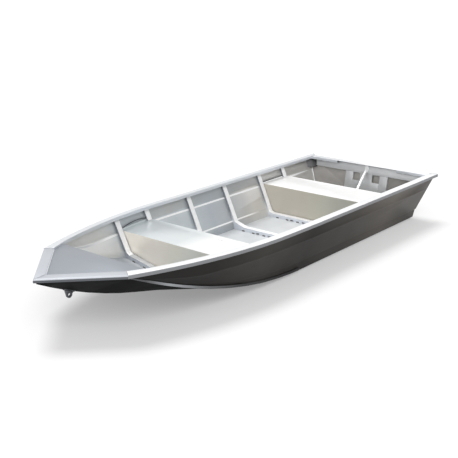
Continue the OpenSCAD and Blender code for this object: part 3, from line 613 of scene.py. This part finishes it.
class BOAT_OT_rails(bpy.types.Operator):
    """Makes the gunwales, the bow rim, the transom's cap and the chine strips"""
    bl_idname = "boat.rails"
    bl_label = "Rails"

    def execute(self, context):
        settings = context.scene.boat
        # The crowns of the gunwales and of the cap get painted shade
        looks = {"gunwale_port": ("rail", "rail_crown"), "gunwale_starboard": ("rail", "rail_crown"),
                 "transom_cap": ("rail", "rail_crown"), "bow_rim_port": ("rim", "rim"),
                 "bow_rim_starboard": ("rim", "rim")}
        for node, (look, crown) in looks.items():
            dress(node, (look, "rail_crown", "rail_lip", f"{look}_side"), rail_painter(look),
                  crown=(outer_top, settings.rail_radius, crown))
        for side, _ in SIDES:
            points = node_points(f"gunwale_{side}")
            for end, ends in (("bow", max), ("stern", min)):
                tops = self.end_tops(points, ends(p.x for p in points), END_REACH)
                self.joint_weld(settings, f"gunwale_joint_weld_{end}_{side}", tops)
        points = node_points("bow_rim_port")
        middle = [p for p in points if abs(p.y) < TOUCH]
        self.joint_weld(settings, "bow_rim_joint_weld",
                        self.end_tops(middle, max(p.x for p in points), BOW_END_REACH))
        for side, _ in SIDES:
            dress(f"chine_strip_{side}", ("strip",), radius=0.4 * MM)
        return {"FINISHED"}

    def joint_weld(self, settings, name, ends):
        """Makes the weld across a rail's joint."""
        tube(name, resampled(ends, JOINT_STEP), settings.joint_radius, "joint", "rim", **STITCH)

    def end_tops(self, points, end, reach):
        """Gives the inner and outer top corners of a rail's mitred end, a little shy of the rounding."""
        near = [p for p in points if abs(p.x - end) < reach]
        height = max(p.z for p in near) - END_DEPTH
        tops = sorted((p for p in near if p.z > height), key=lambda p: p.xy.length)
        return [tops[0], tops[0].lerp(tops[-1], END_SHARE)]


class BOAT_OT_deck(bpy.types.Operator):
    """Makes the bow deck and the welds along its edges"""
    bl_idname = "boat.deck"
    bl_label = "Bow deck"

    def execute(self, context):
        dress("bow_deck", ("deck",))
        # Pale welds along the deck's edges: painted light that fills the shade in the corner under the rim
        for side, sign in SIDES:
            edge = [p for p in node_points("bow_deck") if p.x > DECK_FORE_X and p.y * sign > 0.0]
            ends = [max((p for p in edge if abs(p.x - x) < TOUCH), key=lambda p: p.z)
                    for x in (min(p.x for p in edge), max(p.x for p in edge))]
            tube(f"deck_weld_{side}", resampled(ends, BEAD_STEP), context.scene.boat.weld_radius, "seam",
                 "hull_sheet", **BEAD)
        return {"FINISHED"}


class BOAT_OT_frames(bpy.types.Operator):
    """Makes the frames and the stitch welds at their feet"""
    bl_idname = "boat.frames"
    bl_label = "Frames"

    def execute(self, context):
        floor = ground("bottom_plate")
        for node in FRAMES:
            flat = "frame_foot" if node == BOW_FRAME else "frame"
            finishes = ("frame", "frame_leg", "frame_foot") if node == BOW_FRAME else ("frame", "frame_leg")
            dress(node, finishes, lambda face, flat=flat: self.frame_finish(face, flat))
            xs = [p.x for p in node_points(node)]
            for foot, x in (("aft", min(xs)), ("fore", max(xs))):
                # The stitches are dark with heat tint and with painted shade like that of the drain notches
                for i, middle in enumerate(sign * y for y in STITCH_PLACES for _, sign in SIDES):
                    ys = [middle + step * STITCH_STEP for step in (-2, -1, 0, 1, 2)]
                    path = [Vector((x, y, floor(x, y) + STITCH_LIFT)) for y in ys]
                    tube(f"{node}_stitch_{foot}_{i + 1}", path, context.scene.boat.stitch_radius, "weld",
                         "hull_sheet", **STITCH)
        return {"FINISHED"}

    def frame_finish(self, face, flat):
        """Picks a channel's finish: its legs, its web along the floor and its web up the sides."""
        # The legs take the finish with painted shade
        if abs(face.normal.x) > FACING:
            return "frame_leg"
        return flat if face.normal.z > SQUARE else "frame"


class BOAT_OT_benches(bpy.types.Operator):
    """Makes the two box benches and the painted shadow line along their flanges"""
    bl_idname = "boat.benches"
    bl_label = "Benches"

    def execute(self, context):
        for node, top, arch in (("front_bench", "front_bench", FLANGE_SHADOW_ARCH), ("rear_bench", "bench", 0.0)):
            dress(node, (top, "face"),
                  lambda face, top=top: "face" if abs(face.normal.x) > FACING else top, radius=1.2 * MM)
            points = node_points(node)
            height = max(p.z for p in points) - TOUCH
            for side, sign in SIDES:
                edge = sorted((p for p in points if p.z > height and p.y * sign > 0.0),
                              key=lambda p: (round(p.x, 4), p.y * sign))
                inner = [p for i, p in enumerate(edge) if i == 0 or p.x - edge[i - 1].x > TOUCH]
                # The dark tube along each flange's top is painted shadow, arched where the shadow bulges
                path = resampled(inner, FLANGE_SHADOW_STEP)
                for i, p in enumerate(path):
                    rise = arch * math.sin(math.pi * i / (len(path) - 1))
                    p += Vector((0.0, SIDE_FLARE * sign * rise, rise))
                tube(f"{node}_sealant_{side}", path, context.scene.boat.sealant_radius, "sealant", "bench")
        return {"FINISHED"}


class BOAT_OT_transom(bpy.types.Operator):
    """Makes the transom's posts, board, beam, brace and corner welds"""
    bl_idname = "boat.transom"
    bl_label = "Transom work"

    def execute(self, context):
        for node in ("transom_posts", "motor_board"):
            dress(node, ("plate",))
        dress("transom_brace", ("rail",))
        for side, sign in SIDES:
            ends = [Vector((x, sign * y, z)) for x, y, z in CORNER_WELD]
            tube(f"transom_corner_weld_{side}", resampled(ends, BEAD_STEP), context.scene.boat.weld_radius,
                 "seam", "side_sheet", **BEAD)
        return {"FINISHED"}


class BOAT_OT_fittings(bpy.types.Operator):
    """Makes the knees, the clamp pad, the bow eye, their bolts and the drain"""
    bl_idname = "boat.fittings"
    bl_label = "Fittings"

    def execute(self, context):
        for side, _ in SIDES:
            dress(f"stern_knee_{side}", ("knee",), radius=3 * MM)
        dress("clamp_pad", ("black",), radius=2.5 * MM)
        dress("bow_eye", ("steel",), radius=2 * MM)
        dress("drain_bush", ("steel",), radius=0.6 * MM)
        self.pad_bolts(context.scene.boat.bolt_radius)
        self.eye_bolts(EYE_BOLT_SHARE * context.scene.boat.bolt_radius)
        return {"FINISHED"}

    def pad_bolts(self, radius):
        """Sets a bolt near each corner of the clamp pad's rear face."""
        pad = merged_copy("clamp_pad")
        rear = min(pad.faces, key=lambda f: f.normal.x * f.calc_area())
        middle = rear.calc_center_median()
        for i, corner in enumerate(rear.verts):
            place = corner.co.lerp(middle, PAD_BOLT_INSET)
            self.bolt(f"clamp_pad_bolt_{i + 1}", place, rear.normal.copy(), radius)
        pad.free()

    def eye_bolts(self, radius):
        """Sets a bolt ahead of and behind the bow eye, on each side of its pad."""
        eye = merged_copy("bow_eye")
        for side, sign in SIDES:
            aim = Vector((EYE_PLATE_AIM[0], EYE_PLATE_AIM[1] * sign, EYE_PLATE_AIM[2]))
            plate = max(eye.faces, key=lambda f: f.normal.dot(aim) * f.calc_area())
            axis, middle = plate.normal.copy(), plate.calc_center_median()
            ahead = axis.cross(Vector((0, 1, 0))).normalized()
            slope = axis.cross(ahead)
            middle += slope * ((EYE_BOLT_ASIDE * sign - middle.y) / slope.y)
            for place, step in (("fore", EYE_BOLT_AHEAD), ("aft", -EYE_BOLT_AHEAD)):
                self.bolt(f"bow_eye_bolt_{place}_{side}", middle + ahead * step, axis, radius)
        eye.free()

    def bolt(self, name, place, axis, radius):
        """Makes a hexagon head on a washer that stands on a face."""
        turn = Matrix.Translation(place) @ axis.to_track_quat("Z", "Y").to_matrix().to_4x4()
        shape = bmesh.new()
        for sides, share, low, high in BOLT_LAYERS:
            lift = Matrix.Translation((0, 0, (low + high) / 2 * radius))
            bmesh.ops.create_cone(shape, cap_ends=True, segments=sides, radius1=radius * share,
                                  radius2=radius * share, depth=(high - low) * radius, matrix=turn @ lift)
        bevel(shape, sharp_edges(shape, CORNER_DEG), BOLT_EDGE, EDGE_SEGMENTS)
        new_piece(name, shape, ("steel",))


class BOAT_OT_stage(bpy.types.Operator):
    """Makes the floor, the light, the white world and the camera"""
    bl_idname = "boat.stage"
    bl_label = "Stage"

    def execute(self, context):
        scene = context.scene
        scene.view_settings.view_transform = "Standard"
        self.floor(scene)
        self.world(scene)
        self.light(scene)
        self.camera(scene)
        return {"FINISHED"}

    def level(self, tree, lit, seen):
        """Gives a node with one level as a light and another for rays that show the stage, also in metal."""
        path = add(tree, "ShaderNodeLightPath")
        either = add(tree, "ShaderNodeMath", {"operation": "MAXIMUM"},
                     links={0: (path, "Is Camera Ray"), 1: (path, "Is Glossy Ray")})
        shown = add(tree, "ShaderNodeMath", {"operation": "MAXIMUM"},
                    links={0: (either, "Value"), 1: (path, "Is Transmission Ray")})
        return add(tree, "ShaderNodeMapRange", inputs={"To Min": lit, "To Max": seen},
                   links={"Value": (shown, "Value")})

    def floor(self, scene):
        """Makes a matt floor that glows a little to the eye, just under the boat."""
        material, tree = new_material("white_studio_floor")
        glow = add(tree, "ShaderNodeEmission", inputs={"Color": WHITE},
                   links={"Strength": (self.level(tree, 0.0, FLOOR_GLOW), "Result")})
        matt = add(tree, "ShaderNodeBsdfDiffuse", inputs={"Color": linear(FLOOR_COLOUR) + [1.0]})
        both = add(tree, "ShaderNodeAddShader", links={0: (glow, "Emission"), 1: (matt, "BSDF")})
        add(tree, "ShaderNodeOutputMaterial", links={"Surface": (both, "Shader")})
        plane = bmesh.new()
        bmesh.ops.create_grid(plane, x_segments=1, y_segments=1, size=FLOOR_SIZE,
                              matrix=Matrix.Translation((0, 0, CAD_BOX[0][2] - FLOOR_GAP)))
        mesh = bpy.data.meshes.new("floor")
        plane.to_mesh(mesh)
        plane.free()
        mesh.materials.append(material)
        floor = bpy.data.objects.new("floor", mesh)
        scene.collection.objects.link(floor)

    def world(self, scene):
        """Makes a white sky that is brighter to the eye than as a light."""
        scene.world = bpy.data.worlds.new("white_studio")
        scene.world.use_nodes = True
        tree = scene.world.node_tree
        tree.nodes.clear()
        sky = add(tree, "ShaderNodeBackground", inputs={"Color": WHITE},
                  links={"Strength": (self.level(tree, SKY_LIGHT, SKY_SEEN), "Result")})
        add(tree, "ShaderNodeOutputWorld", links={"Surface": (sky, "Background")})

    def light(self, scene):
        """Sets up the soft lamps."""
        for name, aim, power, spread in LAMPS:
            data = bpy.data.lights.new(name, "SUN")
            data.energy = power
            data.angle = math.radians(spread)
            lamp = bpy.data.objects.new(name, data)
            lamp.rotation_euler = Vector(aim).to_track_quat("-Z", "Y").to_euler()
            scene.collection.objects.link(lamp)

    def camera(self, scene):
        """Sets the camera at the photograph's place."""
        data = bpy.data.cameras.new("photo_camera")
        data.lens = scene.boat.lens
        data.sensor_width = SENSOR_MM
        data.clip_end = CLIP_END
        camera = bpy.data.objects.new("photo_camera", data)
        right, up, ahead = CAMERA_AXES
        turn = Matrix((right, up, [-v for v in ahead])).transposed()
        camera.matrix_world = Matrix.Translation(CAMERA_PLACE) @ turn.to_4x4()
        scene.collection.objects.link(camera)
        scene.camera = camera


class BOAT_PT_looks(bpy.types.Panel):
    """Lists the boat's sizes, colours and pieces"""
    bl_idname = "BOAT_PT_looks"
    bl_label = "Boat"
    bl_space_type = "VIEW_3D"
    bl_region_type = "UI"
    bl_category = "Boat"

    def draw(self, context):
        for name in BoatSettings.__annotations__:
            self.layout.prop(context.scene.boat, name)
        for operator in OPERATORS:
            self.layout.operator(operator.bl_idname)


OPERATORS = (BOAT_OT_hull, BOAT_OT_rails, BOAT_OT_deck, BOAT_OT_frames, BOAT_OT_benches, BOAT_OT_transom,
             BOAT_OT_fittings, BOAT_OT_stage)
CLASSES = (BoatSettings,) + OPERATORS + (BOAT_PT_looks,)


def register():
    """Registers the add-on's classes and its settings."""
    for cls in CLASSES:
        bpy.utils.register_class(cls)
    bpy.types.Scene.boat = bpy.props.PointerProperty(type=BoatSettings)


def unregister():
    """Takes the settings and the classes away again."""
    del bpy.types.Scene.boat
    for cls in reversed(CLASSES):
        bpy.utils.unregister_class(cls)


def main():
    """Makes all the pieces and the stage."""
    register()
    for operator in OPERATORS:
        group, name = operator.bl_idname.split(".")
        getattr(getattr(bpy.ops, group), name)()


if __name__ == "__main__":
    main()
